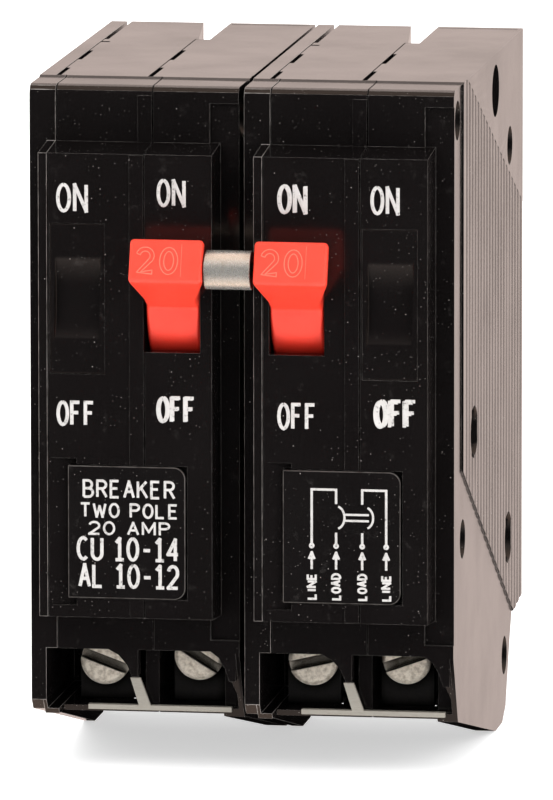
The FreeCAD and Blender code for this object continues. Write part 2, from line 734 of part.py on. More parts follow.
# ---------------------------------------------------------------------------------------
# Handles and their tie
# ---------------------------------------------------------------------------------------
def handle(module):
    """Hub, neck, flared paddle and pivot shaft, drawn pointing at -Y and tilted afterwards."""
    place = MODULES[module]
    middle = place["handle"]
    hub_x = ("%s - handle_width / 2" % middle, "%s + handle_width / 2" % middle)
    side = [
        ("0 - tip_reach", "tip_half"),
        ("0 - tip_reach", "0 - tip_half"),
        ("0 - neck_reach", "0 - neck_low"),
        ("0", "0 - neck_low"),
        ("0", "tip_half"),
    ]
    plan = [
        (middle + " - paddle_left", "0 - tip_reach - 1"),
        (middle + " + paddle_right", "0 - tip_reach - 1"),
        (middle + " + paddle_right", "0 - paddle_shoulder"),
        (hub_x[1], "0 - paddle_root"),
        (hub_x[1], "0"),
        (hub_x[0], "0"),
        (hub_x[0], "0 - paddle_root"),
        (middle + " - paddle_left", "0 - paddle_shoulder"),
    ]
    wedge = prism("x", middle + " - paddle_left - 1", middle + " + paddle_right + 1", side)
    paddle = overlap(wedge, prism("z", "0 - neck_low - 1", "tip_half + 1", plan))
    shaft_x = ("(%s) - shaft_in_wall" % place["low_wall"], "(%s) + shaft_in_wall" % place["high_wall"])
    hub = rod("x", hub_x, "0", "0", "hub_radius")
    solid = fuse([paddle, hub, rod("x", shaft_x, "0", "0", "shaft_radius")])
    if module == "left":
        bore = ("%s + paddle_right - tie_pin_depth" % middle, "%s + paddle_right + 1" % middle)
    else:
        bore = ("%s - paddle_left - 1" % middle, "%s - paddle_left + tie_pin_depth" % middle)
    return tilted(cut(solid, [rod("x", bore, "0 - tie_reach", "0 - tie_drop", "tie_pin_radius")]))


def tilted(part):
    """A handle part turned up about the pivot to its ON position."""
    turned = group([part])
    turned.Placement = FreeCAD.Placement(V(), FreeCAD.Rotation(V(1, 0, 0), 1))
    turned.setExpression("Placement.Rotation.Angle", bound("0 - handle_tilt"))
    turned.setExpression("Placement.Base.y", bound("pivot_y"))
    turned.setExpression("Placement.Base.z", bound("pivot_z"))
    return turned


def tie_rod(low, high, radius, bore=None):
    """Round bar or tube on the tie axis."""
    bar = rod("x", (low, high), "0 - tie_reach", "0 - tie_drop", radius)
    if bore:
        bar = cut(bar, [rod("x", (low + " - 1", high + " + 1"), "0 - tie_reach", "0 - tie_drop", bore)])
    return tilted(bar)


# ---------------------------------------------------------------------------------------
# Inserts in the front
# ---------------------------------------------------------------------------------------
def handle_blank(module):
    """Filler block with a hollow face, in the unused handle slot."""
    middle = MODULES[module]["blank"]
    across = (middle + " - blank_half", middle + " + blank_half")
    block = box(across, ("nose_y", "nose_y + blank_depth - 0.1"), ("blank_low_z", "blank_high_z"))
    hollow_x = (middle + " - blank_half + 0.5", middle + " + blank_half - 0.5")
    centre_z = "(blank_low_z + blank_high_z) / 2"
    hollow = rod("x", hollow_x, "nose_y + 1.2 - blank_hollow", centre_z, "blank_hollow")
    return cut(block, [hollow])


def label_plate():
    """Flat insert with round right corners."""
    body = doc.addObject("PartDesign::Body", "label_body")
    sketch = body.newObject("Sketcher::SketchObject", "label_outline")
    plane = next(item for item in body.Origin.OriginFeatures if item.Role == "XZ_Plane")
    sketch.AttachmentSupport = [(plane, "")]
    sketch.MapMode = "FlatFace"
    draw(sketch, [
        ("label_left_x", "label_low_z"),
        ("label_right_x", "label_low_z"),
        ("label_right_x", "label_high_z"),
        ("label_left_x", "label_high_z"),
    ])
    pad = body.newObject("PartDesign::Pad", "label_pad")
    pad.Profile = sketch
    pad.setExpression("Length", bound("label_proud + label_sunk"))
    doc.recompute()
    corners = [
        "Edge%d" % (index + 1)
        for index, edge in enumerate(pad.Shape.Edges)
        if all(abs(vertex.X - size_of("label_right_x")) < 0.01 for vertex in edge.Vertexes)
        and abs(edge.Vertexes[0].Z - edge.Vertexes[1].Z) < 0.01
    ]
    fillet = body.newObject("PartDesign::Fillet", "label_corners")
    fillet.Base = (pad, corners)
    fillet.setExpression("Radius", bound("label_corner"))
    body.Tip = fillet
    body.setExpression("Placement.Base.y", bound("nose_y + label_sunk"))
    return body


# ---------------------------------------------------------------------------------------
# Rivets
# ---------------------------------------------------------------------------------------
def rivet(low, high, y, z, wide):
    """Shank with a round head at each end, in module coordinates."""
    head = "wide_head" if wide else "narrow_head"
    start = "(%s) + recess_depth - head_thick" % low
    end = "(%s) - recess_depth + head_thick" % high
    return fuse([
        rod("x", (start, end), y, z, "rivet_radius"),
        rod("x", (start, "(%s) + recess_depth" % low), y, z, head),
        rod("x", ("(%s) - recess_depth" % high, end), y, z, head),
    ])


# ---------------------------------------------------------------------------------------
# Contacts and line link
# ---------------------------------------------------------------------------------------
CONTACT_FACE = "arm_top_z + contact_thick + contact_gap"
STRAP_LOW = CONTACT_FACE + " + contact_thick"
STRAP_HIGH = STRAP_LOW + " + strap_thick"


def contact_arm(module):
    """Arm from its pivot shaft to the pad under the moving contact."""
    place = MODULES[module]
    middle = place["handle"]
    across = (middle + " - arm_half", middle + " + arm_half")
    outline = [
        ("arm_y - 1.2", "arm_z + 2"),
        ("contact_y - 2.4", "arm_top_z"),
        ("contact_y + 2.2", "arm_top_z"),
        ("contact_y + 2.2", "arm_top_z - 2"),
        ("contact_y - 1", "arm_top_z - 2.4"),
        ("arm_y + 1.2", "arm_z - 2"),
    ]
    shaft_x = ("(%s) - shaft_in_wall" % place["low_wall"], "(%s) + shaft_in_wall" % place["high_wall"])
    pad = box(
        (middle + " - 1.9", middle + " + 1.9"),
        ("contact_y - 2", "contact_y + 2.2"),
        ("arm_top_z - 1", "arm_top_z"),
    )
    return fuse([
        prism("x", across[0], across[1], outline),
        rod("x", across, "arm_y", "arm_z", "arm_hub"),
        rod("x", shaft_x, "arm_y", "arm_z", "shaft_radius"),
        pad,
    ])


def moving_contact(middle):
    """Round button on the arm."""
    return rod("z", middle, "contact_y", ("arm_top_z", "arm_top_z + contact_thick"), "contact_radius")


def fixed_contact(module):
    """Button under a strap that reaches through the partition."""
    middle, link = MODULES[module]["handle"], MODULES[module]["link"]
    if module == "left":
        across = (link + " - strap_half", middle + " + strap_half")
    else:
        across = (middle + " - strap_half", link + " + strap_half")
    return fuse([
        rod("z", middle, "contact_y", (CONTACT_FACE, STRAP_LOW + " + 0.1"), "contact_radius + 0.1"),
        box((middle + " - strap_half", middle + " + strap_half"), ("35", "link_y"), (STRAP_LOW, STRAP_HIGH)),
        box(across, ("42.5", "link_y"), (STRAP_LOW, STRAP_HIGH)),
    ])


def line_link(module):
    """Strap in the outer bay from the fixed contact down to the terminal strap."""
    link = MODULES[module]["link"]
    outline = [
        ("link_y", STRAP_HIGH),
        ("link_y + strap_thick", STRAP_HIGH),
        ("link_y + strap_thick", "shelf_z + strap_thick"),
        ("36", "shelf_z + strap_thick"),
        ("36", "shelf_z + 2 * strap_thick"),
        ("link_y", "shelf_z + 2 * strap_thick"),
    ]
    return prism("x", link + " - strap_half", link + " + strap_half", outline)


def toggle_spring(middle):
    """Close-wound spring beside the arm, hooked to it by two posts."""
    axis_x = middle + " + 2.2"
    lean = math.degrees(math.atan2(size_of("arm_top_z - arm_z - 3.6"), size_of("contact_y - arm_y - 4")))
    spring = doc.addObject("Part::Cylinder", "coil")
    spring.setExpression("Radius", "0.9")
    spring.setExpression("Height", "15")
    spring.Placement = FreeCAD.Placement(V(), FreeCAD.Rotation(V(1, 0, 0), lean - 90))
    spring.setExpression("Placement.Base.x", bound(axis_x))
    spring.setExpression("Placement.Base.y", bound("arm_y + 2.6"))
    spring.setExpression("Placement.Base.z", bound("arm_z + 2.2"))
    posts = [
        rod("x", (middle + " + arm_half", axis_x), y, z, "0.45")
        for y, z in (("arm_y + 3.4", "arm_z + 2.6"), ("arm_y + 15.2", "arm_z + 6.9"))
    ]
    return fuse([spring] + posts)


def arc_chute(middle):
    """Stack of plates between two cheeks, behind the moving contact."""
    low, high = middle + " - 2.9", middle + " + 2.9"
    back = "bay_back_y - 0.6"
    pieces = [
        box((low, high), (back + " - 0.8", back), ("arm_z - 1", "arm_top_z + 1")),
    ]
    for index in range(5):
        level = "arm_z + %d * 2.2" % index
        pieces.append(box((low, high), ("chute_y", back), (level, level + " + 0.9")))
    return fuse(pieces)


# ---------------------------------------------------------------------------------------
# Trip unit
# ---------------------------------------------------------------------------------------
def cradle(module):
    """Lever from its own shaft to the latch on the armature."""
    place = MODULES[module]
    middle = place["handle"]
    across = (middle + " - 1", middle + " + 1")
    outline = [
        ("cradle_y", "cradle_z - 0.8"),
        ("trip_y - 1", "cradle_z - 0.8"),
        ("trip_y - 1", "cradle_z + 0.4"),
        ("cradle_y + 6", "cradle_z + 1.4"),
        ("cradle_y", "cradle_z + 1.4"),
    ]
    shaft_x = ("(%s) - shaft_in_wall" % place["low_wall"], "(%s) + shaft_in_wall" % place["high_wall"])
    return fuse([
        prism("x", across[0], across[1], outline),
        rod("x", across, "cradle_y", "cradle_z", "2 * cradle_shaft"),
        rod("x", shaft_x, "cradle_y", "cradle_z", "cradle_shaft"),
    ])


def armature(middle):
    """Plate on the trip bar that the magnet pulls."""
    low, high = middle + " - armature_half", middle + " + armature_half"
    plate = box((low, high), ("trip_y - 0.6", "trip_y + 0.6"), ("trip_z", "armature_top_z"))
    eye = rod("x", (low, high), "trip_y", "trip_z", "trip_radius + 0.7")
    hole = rod("x", (low + " - 1", high + " + 1"), "trip_y", "trip_z", "trip_radius")
    return cut(fuse([plate, eye]), [hole])


def magnet_yoke(middle):
    """U of steel in front of the bimetal."""
    low, high = middle + " - armature_half", middle + " + armature_half"
    outline = [
        (low, "yoke_y"),
        (low + " + 1.1", "yoke_y"),
        (low + " + 1.1", "bimetal_y - 1.2"),
        (high + " - 1.1", "bimetal_y - 1.2"),
        (high + " - 1.1", "yoke_y"),
        (high, "yoke_y"),
        (high, "bimetal_y"),
        (low, "bimetal_y"),
    ]
    return prism("z", "trip_z", "trip_z + 11", outline)


def bimetal(middle):
    """Upright strip on the end of the load strap."""
    across = (middle + " - bimetal_half", middle + " + bimetal_half")
    return box(across, ("bimetal_y", "bimetal_y + 0.9"), ("shelf_z + strap_thick", "bimetal_top_z"))


def braid(middle):
    """Flexible braid from the bimetal towards the contact arm, bent with two arcs."""
    start = V(size_of(middle + " - 2.2"), size_of("bimetal_y"), size_of("bimetal_top_z - 0.9"))
    corner = V(start.x, size_of("trip_y - 1"), start.z)
    end = V(start.x, size_of("arm_y + 3.2"), size_of("arm_z - 2"))
    back = (start - corner).normalize()
    ahead = (end - corner).normalize()
    tangent = 3.5
    first, last = corner + back * tangent, corner + ahead * tangent
    half = back.getAngle(ahead) / 2
    centre = corner + (back + ahead).normalize() * (tangent / math.cos(half))
    middle_point = centre + (corner - centre).normalize() * (tangent * math.tan(half))
    path = Part.Wire([
        Part.LineSegment(start, first).toShape(),
        Part.Arc(first, middle_point, last).toShape(),
        Part.LineSegment(last, end).toShape(),
    ])
    profile = Part.Wire([Part.Circle(start, V(0, 1, 0), 0.7).toShape()])
    rope = doc.addObject("Part::Feature", "rope")
    rope.Shape = path.makePipeShell([profile], True, True)
    return rope


def calibration_screw(middle):
    """Slotted screw in the load strap, under the bimetal."""
    shank = rod("z", middle, "26", ("shelf_z", "shelf_z + 3"), "1.2")
    head = rod("z", middle, "26", ("shelf_z + 3", "shelf_z + 4.4"), "1.7")
    slot = box((middle + " - 2", middle + " + 2"), ("25.8", "26.2"), ("shelf_z + 3.7", "shelf_z + 5"))
    return cut(fuse([shank, head]), [slot])


# ---------------------------------------------------------------------------------------
# Terminals
# ---------------------------------------------------------------------------------------
def terminal_screw(lean):
    """Slotted pan-head screw, turned about its own axis by its lean."""
    body = doc.addObject("PartDesign::Body", "screw_body")
    planes = {item.Role: item for item in body.Origin.OriginFeatures}
    sketch = body.newObject("Sketcher::SketchObject", "screw_profile")
    sketch.AttachmentSupport = [(planes["XY_Plane"], "")]
    sketch.MapMode = "FlatFace"
    draw(sketch, [
        ("0", "0"),
        ("screw_head - 0.5", "0"),
        ("screw_head", "0.5"),
        ("screw_head", "screw_head_thick"),
        ("screw_shank", "screw_head_thick"),
        ("screw_shank", "screw_head_thick + screw_length - 0.8"),
        ("screw_shank - 0.6", "screw_head_thick + screw_length"),
        ("0", "screw_head_thick + screw_length"),
    ])
    turned = body.newObject("PartDesign::Revolution", "screw_turned")
    turned.Profile = sketch
    turned.ReferenceAxis = (sketch, ["V_Axis"])
    turned.Angle = 360
    doc.recompute()
    slot = body.newObject("Sketcher::SketchObject", "screw_slot_outline")
    slot.AttachmentSupport = [(planes["XZ_Plane"], "")]
    slot.MapMode = "FlatFace"
    draw(slot, [
        ("0 - screw_head - 1", "0 - screw_slot / 2"),
        ("screw_head + 1", "0 - screw_slot / 2"),
        ("screw_head + 1", "screw_slot / 2"),
        ("0 - screw_head - 1", "screw_slot / 2"),
    ])
    solid = turned.Shape.Volume
    pocket = body.newObject("PartDesign::Pocket", "screw_slot_cut")
    pocket.Profile = slot
    pocket.setExpression("Length", bound("screw_slot_deep"))
    doc.recompute()
    if pocket.Shape.Volume > solid - 0.1:
        pocket.Reversed = True
        doc.recompute()
    if pocket.Shape.Volume > solid - 0.1:
        raise SystemExit("the screw slot cuts nothing")
    body.Placement = FreeCAD.Placement(V(), FreeCAD.Rotation(V(0, 1, 0), lean))
    return body


def placed_screw(spot, lean):
    """A terminal screw at its place in the module."""
    screw = terminal_screw(lean)
    for corner, where in zip("xyz", (spot[0], "screw_face_y", spot[1])):
        screw.setExpression("Placement.Base." + corner, bound(where))
    return screw


def clamp_plate(spot):
    """Square washer under the screw head."""
    middle, height = spot
    start = "screw_face_y + screw_head_thick"
    across = (middle + " - clamp_half", middle + " + clamp_half")
    up = ("floor_z + 0.2", height + " + clamp_half")
    plate = box(across, (start, start + " + clamp_thick"), up)
    hole = rod("y", middle, (start + " - 1", start + " + 3"), height, "screw_shank + thread_play")
    return cut(plate, [hole])


def terminal_strap(spot, calibrated):
    """Threaded plate with a tail along the shelf."""
    middle, height = spot
    across = (middle + " - plate_half", middle + " + plate_half")
    outline = [
        ("plate_y", "floor_z + 0.6"),
        ("plate_y + plate_thick", "floor_z + 0.6"),
        ("plate_y + plate_thick", "shelf_z"),
        ("tail_end_y", "shelf_z"),
        ("tail_end_y", "shelf_z + strap_thick"),
        ("plate_y", "shelf_z + strap_thick"),
    ]
    thread = rod("y", middle, ("plate_y - 1", "plate_y + 3"), height, "screw_shank + thread_play")
    holes = [thread]
    if calibrated:
        holes.append(rod("z", calibrated, "26", ("shelf_z - 1", "shelf_z + 2"), "1.2"))
    return cut(prism("x", across[0], across[1], outline), holes)


# ---------------------------------------------------------------------------------------
# Back
# ---------------------------------------------------------------------------------------
def stab_clip():
    """Two spring leaves joined at the front, in the stab slot."""
    low, high = "stab_x + 0.15", "split_x - seam / 2 - 0.1"
    outline = [
        (low, "stab_y + 0.1"),
        (high, "stab_y + 0.1"),
        (high, "case_depth - 0.8"),
        (high + " - jaw_thick", "case_depth - 0.8"),
        (high + " - jaw_thick - 0.4", "case_depth - 3"),
        (high + " - jaw_thick", "case_depth - 5"),
        (high + " - jaw_thick", "stab_y + 0.1 + jaw_thick"),
        (low + " + jaw_thick", "stab_y + 0.1 + jaw_thick"),
        (low + " + jaw_thick", "case_depth - 5"),
        (low + " + jaw_thick + 0.4", "case_depth - 3"),
        (low + " + jaw_thick", "case_depth - 0.8"),
        (low, "case_depth - 0.8"),
    ]
    return prism("z", "stab_low_z + 0.1", "stab_low_z + 18", outline)


# ---------------------------------------------------------------------------------------
# The assembly
# ---------------------------------------------------------------------------------------
SCREW_LEAN = {("left", "line"): 20, ("left", "load"): 32, ("right", "load"): -13, ("right", "line"): -20}

for module, place in MODULES.items():
    middle = place["handle"]
    node(module + "_left_cover", left_cover(module), module)
    node(module + "_centre_tray", centre_tray(module), module)
    node(module + "_right_tray", right_tray(module), module)
    node(module + "_handle_blank", handle_blank(module), module)
    node(module + "_label_plate", label_plate(), module)
    node(module + "_stab_clip", stab_clip(), module)
    node(module + "_liner", liner(), module)
    node(module + "_handle", handle(module), module)
    node(module + "_contact_arm", contact_arm(module), module)
    node(module + "_moving_contact", moving_contact(middle), module)
    node(module + "_toggle_spring", toggle_spring(middle), module)
    node(module + "_fixed_contact", fixed_contact(module), module)
    node(module + "_line_link", line_link(module), module)
    node(module + "_arc_chute", arc_chute(middle), module)
    node(module + "_cradle", cradle(module), module)
    node(module + "_armature", armature(middle), module)
    node(module + "_magnet_yoke", magnet_yoke(middle), module)
    node(module + "_bimetal", bimetal(middle), module)
    node(module + "_braid", braid(middle), module)
    node(module + "_calibration_screw", calibration_screw(middle), module)
    for use in ("line", "load"):
        spot = place[use]
        label = "%s_%s_" % (module, use)
        node(label + "screw", placed_screw(spot, SCREW_LEAN[module, use]), module)
        node(label + "clamp_plate", clamp_plate(spot), module)
        node(label + "strap", terminal_strap(spot, middle if use == "load" else None), module)

# Pieces that reach across both modules, in the breaker's own X.
LEFT_X = "(0 - module_width - module_gap / 2)"
RIGHT_X = "(module_gap / 2)"
OUTER_LOW, OUTER_HIGH = LEFT_X, "(module_gap / 2 + module_width)"

tie_low = LEFT_X + " + left_handle_x + paddle_right"
tie_high = RIGHT_X + " + right_handle_x - paddle_left"
tie_pin = tie_rod(tie_low + " - tie_pin_depth + 0.2", tie_high + " + tie_pin_depth - 0.2", "tie_pin_radius")
node("tie_pin", tie_pin, "middle")
sleeve_low = tie_low + " + 0.1"
sleeve = tie_rod(sleeve_low, sleeve_low + " + sleeve_length", "sleeve_radius", "tie_pin_radius + sleeve_play")
node("tie_sleeve", sleeve, "middle")

bar_low, bar_high = LEFT_X + " + split_x + 0.6", RIGHT_X + " + split_x - partition - 0.6"
node("trip_bar", rod("x", (bar_low, bar_high), "trip_y", "trip_z", "trip_radius"), "middle")

wide = [rivet(OUTER_LOW, OUTER_HIGH, y, z, True) for y, z, is_wide in RIVETS if is_wide]
node("through_rivets", group(wide), "middle")
for module, low in (("left", LEFT_X), ("right", RIGHT_X)):
    narrow = [rivet(low, low + " + module_width", y, z, False) for y, z, is_wide in RIVETS if not is_wide]
    node(module + "_rivets", group(narrow), "middle")

# ---------------------------------------------------------------------------------------
# Check and export
# ---------------------------------------------------------------------------------------
doc.recompute()
for item in doc.Objects:
    if "Invalid" in item.State or "Error" in item.State:
        raise SystemExit("%s (%s) failed: %s" % (item.Name, item.Label, item.State))
for part in NODES:
    if part.Shape.isNull() or not part.Shape.isValid():
        raise SystemExit("%s has no valid shape" % part.Label)
for part in NODES:
    part.Shape.exportStep("parts/%s.step" % part.Label)
    print("%-28s %2d solid(s) %10.2f mm3" % (part.Label, len(part.Shape.Solids), part.Shape.Volume))
print(len(NODES), "nodes")
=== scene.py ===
import json
import math

import bpy
from mathutils import Matrix, Vector

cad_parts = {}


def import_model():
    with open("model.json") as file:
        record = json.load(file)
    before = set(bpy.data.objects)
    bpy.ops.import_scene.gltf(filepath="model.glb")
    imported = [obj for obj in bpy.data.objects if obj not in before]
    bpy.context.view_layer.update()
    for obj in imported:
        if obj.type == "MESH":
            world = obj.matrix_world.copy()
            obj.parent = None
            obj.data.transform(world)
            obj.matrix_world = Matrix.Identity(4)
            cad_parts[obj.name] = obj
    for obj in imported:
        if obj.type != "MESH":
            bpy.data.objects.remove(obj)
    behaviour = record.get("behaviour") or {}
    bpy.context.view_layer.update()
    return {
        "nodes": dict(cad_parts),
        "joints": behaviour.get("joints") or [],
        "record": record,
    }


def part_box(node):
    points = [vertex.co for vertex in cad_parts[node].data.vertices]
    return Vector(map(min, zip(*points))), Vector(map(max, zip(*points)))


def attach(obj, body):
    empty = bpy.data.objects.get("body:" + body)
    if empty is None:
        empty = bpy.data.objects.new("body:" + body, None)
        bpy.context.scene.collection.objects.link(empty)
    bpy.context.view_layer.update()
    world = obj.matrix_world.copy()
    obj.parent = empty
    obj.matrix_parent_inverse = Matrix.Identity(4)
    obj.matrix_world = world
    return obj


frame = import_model()

# Everything is in metres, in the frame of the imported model: X across the breaker, the handles
# face -Y, +Z up. Sizes below are written in millimetres times MM.
MM = 0.001
MODULES = ("left", "right")


def low(node):
    """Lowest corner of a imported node."""
    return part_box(node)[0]


def high(node):
    """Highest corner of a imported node."""
    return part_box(node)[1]


def joint(name):
    """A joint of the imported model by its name."""
    return next(item for item in frame["joints"] if item["name"] == name)


NOSE_Y = low("left_left_cover").y
PIVOT = Vector(joint("handle_throw")["pos_m"])
HANDLE_TILT = math.radians(20)  # handles at ON, above the horizontal
FACE_REACH = 16.75 * MM  # pivot to the face of a paddle
STROKE_HALF = 0.02 * MM  # half the thickness of print and raised lines
STROKE_LIFT = 0.01 * MM  # their middle plane in front of the surface under them
SWITCH_STROKE = 0.44 * MM  # line width of ON and OFF
# Width of the softened edges in millimetres
CASE_ROUND, LABEL_ROUND, BLANK_ROUND, METAL_ROUND, HANDLE_ROUND = 0.3, 0.12, 0.15, 0.1, 0.5
HANDLE_X = {
    name: (low(name + "_moving_contact").x + high(name + "_moving_contact").x) / 2
    for name in MODULES
}


# ---------------------------------------------------------------------------------------
# Node helpers
# ---------------------------------------------------------------------------------------
class Shader:
    """A material under construction, with short calls for its nodes."""

    def __init__(self, name):
        self.material = bpy.data.materials.new(name)
        self.material.use_nodes = True
        self.tree = self.material.node_tree
        self.bsdf = self.tree.nodes["Principled BSDF"]
        coordinates = self.add("ShaderNodeTexCoord")
        scale = self.add("ShaderNodeVectorMath", operation="MULTIPLY")
        scale.inputs[1].default_value = (1 / MM, 1 / MM, 1 / MM)
        self.link(coordinates.outputs["Object"], scale.inputs[0])
        self.place = scale.outputs[0]

    def add(self, kind, **settings):
        """A new node with its settings."""
        node = self.tree.nodes.new(kind)
        for key, value in settings.items():
            setattr(node, key, value)
        return node

    def link(self, source, target):
        """Connect two sockets."""
        self.tree.links.new(source, target)

    def stretched(self, factors, turn=(0, 0, 0)):
        """The position in millimetres, turned and then scaled on each axis."""
        mapping = self.add("ShaderNodeMapping")
        mapping.inputs["Scale"].default_value = factors
        mapping.inputs["Rotation"].default_value = turn
        self.link(self.place, mapping.inputs["Vector"])
        return mapping.outputs[0]

    def noise(self, scale, detail=4, rough=0.5, place=None):
        """Fractal noise at a scale per millimetre."""
        node = self.add("ShaderNodeTexNoise")
        node.inputs["Scale"].default_value = scale
        node.inputs["Detail"].default_value = detail
        node.inputs["Roughness"].default_value = rough
        self.link(place or self.place, node.inputs["Vector"])
        return node.outputs["Fac"]

    def open_air(self, reach):
        """How open a spot is to its surroundings within a reach in millimetres, 0 to 1."""
        node = self.add("ShaderNodeAmbientOcclusion", samples=8)
        node.inputs["Distance"].default_value = reach * MM
        return node.outputs["AO"]

    def specks(self, scale, size):
        """1 inside small scattered dots, 0 outside."""
        node = self.add("ShaderNodeTexVoronoi")
        node.inputs["Scale"].default_value = scale
        self.link(self.place, node.inputs["Vector"])
        return self.ramp(node.outputs["Distance"], size * 0.6, size, 1, 0)

    def ramp(self, source, start, end, first=0.0, last=1.0):
        """A number mapped from one range to another and held at its ends."""
        node = self.add("ShaderNodeMapRange")
        node.clamp = True
        for socket, value in zip(("From Min", "From Max", "To Min", "To Max"), (start, end, first, last)):
            node.inputs[socket].default_value = value
        self.link(source, node.inputs["Value"])
        return node.outputs["Result"]

    def math(self, operation, first, second):
        """Arithmetic on sockets and numbers."""
        node = self.add("ShaderNodeMath", operation=operation)
        for index, value in enumerate((first, second)):
            if isinstance(value, (int, float)):
                node.inputs[index].default_value = value
            else:
                self.link(value, node.inputs[index])
        return node.outputs[0]

    def mix(self, factor, first, second):
        """Colour mix of sockets and colours."""
        node = self.add("ShaderNodeMix", data_type="RGBA")
        self.link(factor, node.inputs["Factor"])
        for socket, value in ((node.inputs[6], first), (node.inputs[7], second)):
            if isinstance(value, tuple):
                socket.default_value = (*value, 1)
            else:
                self.link(value, socket)
        return node.outputs[2]

    def bump(self, source, distance, strength):
        """Bump of a height in millimetres."""
        node = self.add("ShaderNodeBump")
        node.inputs["Distance"].default_value = distance * MM
        node.inputs["Strength"].default_value = strength
        self.link(source, node.inputs["Height"])
        return node.outputs[0]

    def set(self, socket, value):
        """A number or a source on a socket of the shader."""
        if isinstance(value, bpy.types.NodeSocket):
            self.link(value, self.bsdf.inputs[socket])
        else:
            self.bsdf.inputs[socket].default_value = value


# ---------------------------------------------------------------------------------------
# Materials
# ---------------------------------------------------------------------------------------
def case_plastic(name, roughness, dust):
    """Black moulded phenolic: glossy, a little uneven, with dust and a few faint scuffs."""
    skin = Shader(name)
    cloud = skin.noise(0.1, 5)
    grain = skin.noise(1.6, 5)
    fine = skin.specks(1.9, 0.1)
    sparse = skin.specks(0.6, 0.05)
    patch = skin.ramp(skin.noise(0.22, 3), 0.42, 0.58)
    dots = skin.math("MAXIMUM", skin.math("MULTIPLY", fine, patch), sparse)
    scuff = skin.ramp(skin.noise(0.6, 7, 0.7), 0.6, 0.8, 0.0, 0.1)
    # In this plastic the mask holds only dust specks and scuffs, no shade.
    dirt_and_cavity_shade = skin.math("MULTIPLY", skin.math("MAXIMUM", dots, scuff), dust)
    base = skin.mix(cloud, (0.0042, 0.0034, 0.0034), (0.0072, 0.0058, 0.0057))
    skin.set("Base Color", skin.mix(dirt_and_cavity_shade, base, (0.30, 0.27, 0.25)))
    sheen = skin.ramp(cloud, 0.3, 0.7, roughness - 0.03, roughness + 0.05)
    skin.set("Roughness", skin.math("ADD", sheen, skin.math("MULTIPLY", dirt_and_cavity_shade, 0.5)))
    skin.set("IOR", 1.52)
    skin.set("Normal", skin.bump(grain, 0.008, 0.4))
    return skin.material


def worn_and_highlit_edge(name, highlit_tone, rubbed_and_highlit):
    """The same plastic on its bevelled edges: lighter than the faces as a painted edge highlight, greyer
    still in patches of wear, and less glossy.
    """
    skin = Shader(name)
    patch = skin.ramp(skin.noise(0.7, 6, 0.65), 0.3, 0.58)
    # Both colours are lighter than the faces: a painted edge highlight, with patches of wear.
    skin.set("Base Color", skin.mix(patch, highlit_tone, rubbed_and_highlit))
    skin.set("Roughness", 0.32)
    skin.set("Normal", skin.bump(skin.noise(3.0, 5), 0.01, 0.5))
    return skin.material


def red_plastic(name, highlight_lift):
    """Orange-red moulded nylon with painted shade in its recesses; a paler copy of it is a painted highlight
    on raised lines.
    """
    skin = Shader(name)
    cloud = skin.noise(0.35, 4)
    grain = skin.noise(4.0, 5)
    smudge = skin.ramp(skin.noise(0.5, 6, 0.6), 0.62, 0.8, 0.0, 0.25)
    # Paler red here, for raised lines, is a painted highlight.
    base = skin.mix(cloud, (0.90, 0.050 + highlight_lift, 0.024 + highlight_lift * 0.7), (0.95, 0.062 + highlight_lift, 0.033 + highlight_lift * 0.7))
    worn = skin.mix(smudge, base, (0.75, 0.05, 0.03))
    # Painted shade: the red goes deep red where the handle is hemmed in, as on the neck in its slot.
    shade = skin.ramp(skin.open_air(6), 0.45, 0.88, 0.75, 0.0)
    skin.set("Base Color", skin.mix(shade, worn, (0.42, 0.012, 0.006)))
    skin.set("Roughness", skin.ramp(cloud, 0.3, 0.7, 0.36, 0.46))
    skin.set("IOR", 1.53)
    skin.set("Subsurface Weight", 0.3)
    skin.set("Subsurface Radius", (0.0012, 0.0003, 0.0002))
    skin.set("Subsurface Scale", 1.0)
    skin.set("Normal", skin.bump(grain, 0.01, 0.5))
    return skin.material


def plated_steel(name, bright, dark, roughness, pits, pit_depth, metallic, gritty):
    """Dull plated steel with tarnish, small pits and painted shade in its hollows; gritty is how dark the
    pits are.
    """
    skin = Shader(name)
    cloud = skin.noise(0.7, 6, 0.6)
    pitting = skin.noise(pits, 6, 0.65)
    tarnish = skin.ramp(skin.noise(1.6, 8, 0.7), 0.5, 0.72, 0.0, 0.45)
    base = skin.mix(cloud, bright, tuple(value * 0.88 for value in bright))
    # Painted shade: hollows such as the screw slots go nearly black and lose their specular.
    dirt_and_cavity_shade = skin.ramp(skin.open_air(1.6), 0.5, 0.97, 1.0, 0.0)
    grit = skin.ramp(pitting, 0.36, 0.56, gritty, 0.0)
    worn = skin.mix(grit, skin.mix(tarnish, base, dark), tuple(value * 0.6 for value in dark))
    skin.set("Base Color", skin.mix(dirt_and_cavity_shade, worn, tuple(value * 0.03 for value in dark)))
    skin.set("Metallic", metallic)
    skin.set("Specular IOR Level", skin.ramp(dirt_and_cavity_shade, 0.0, 1.0, 0.5, 0.0))
    rough = skin.ramp(pitting, 0.3, 0.7, roughness - 0.06, roughness + 0.1)
    skin.set("Roughness", skin.math("ADD", rough, skin.math("MULTIPLY", tarnish, 0.2)))
    skin.set("Normal", skin.bump(pitting, pit_depth, 0.8))
    return skin.material


def plain_metal(name, colour, roughness):
    """Strip metal of the inner parts, slightly uneven."""
    skin = Shader(name)
    cloud = skin.noise(0.5, 5)
    skin.set("Base Color", skin.mix(cloud, colour, tuple(value * 0.75 for value in colour)))
    skin.set("Metallic", 1.0)
    skin.set("Roughness", skin.ramp(cloud, 0.3, 0.7, roughness - 0.05, roughness + 0.08))
    skin.set("Normal", skin.bump(skin.noise(3.0, 5), 0.01, 0.5))
    return skin.material


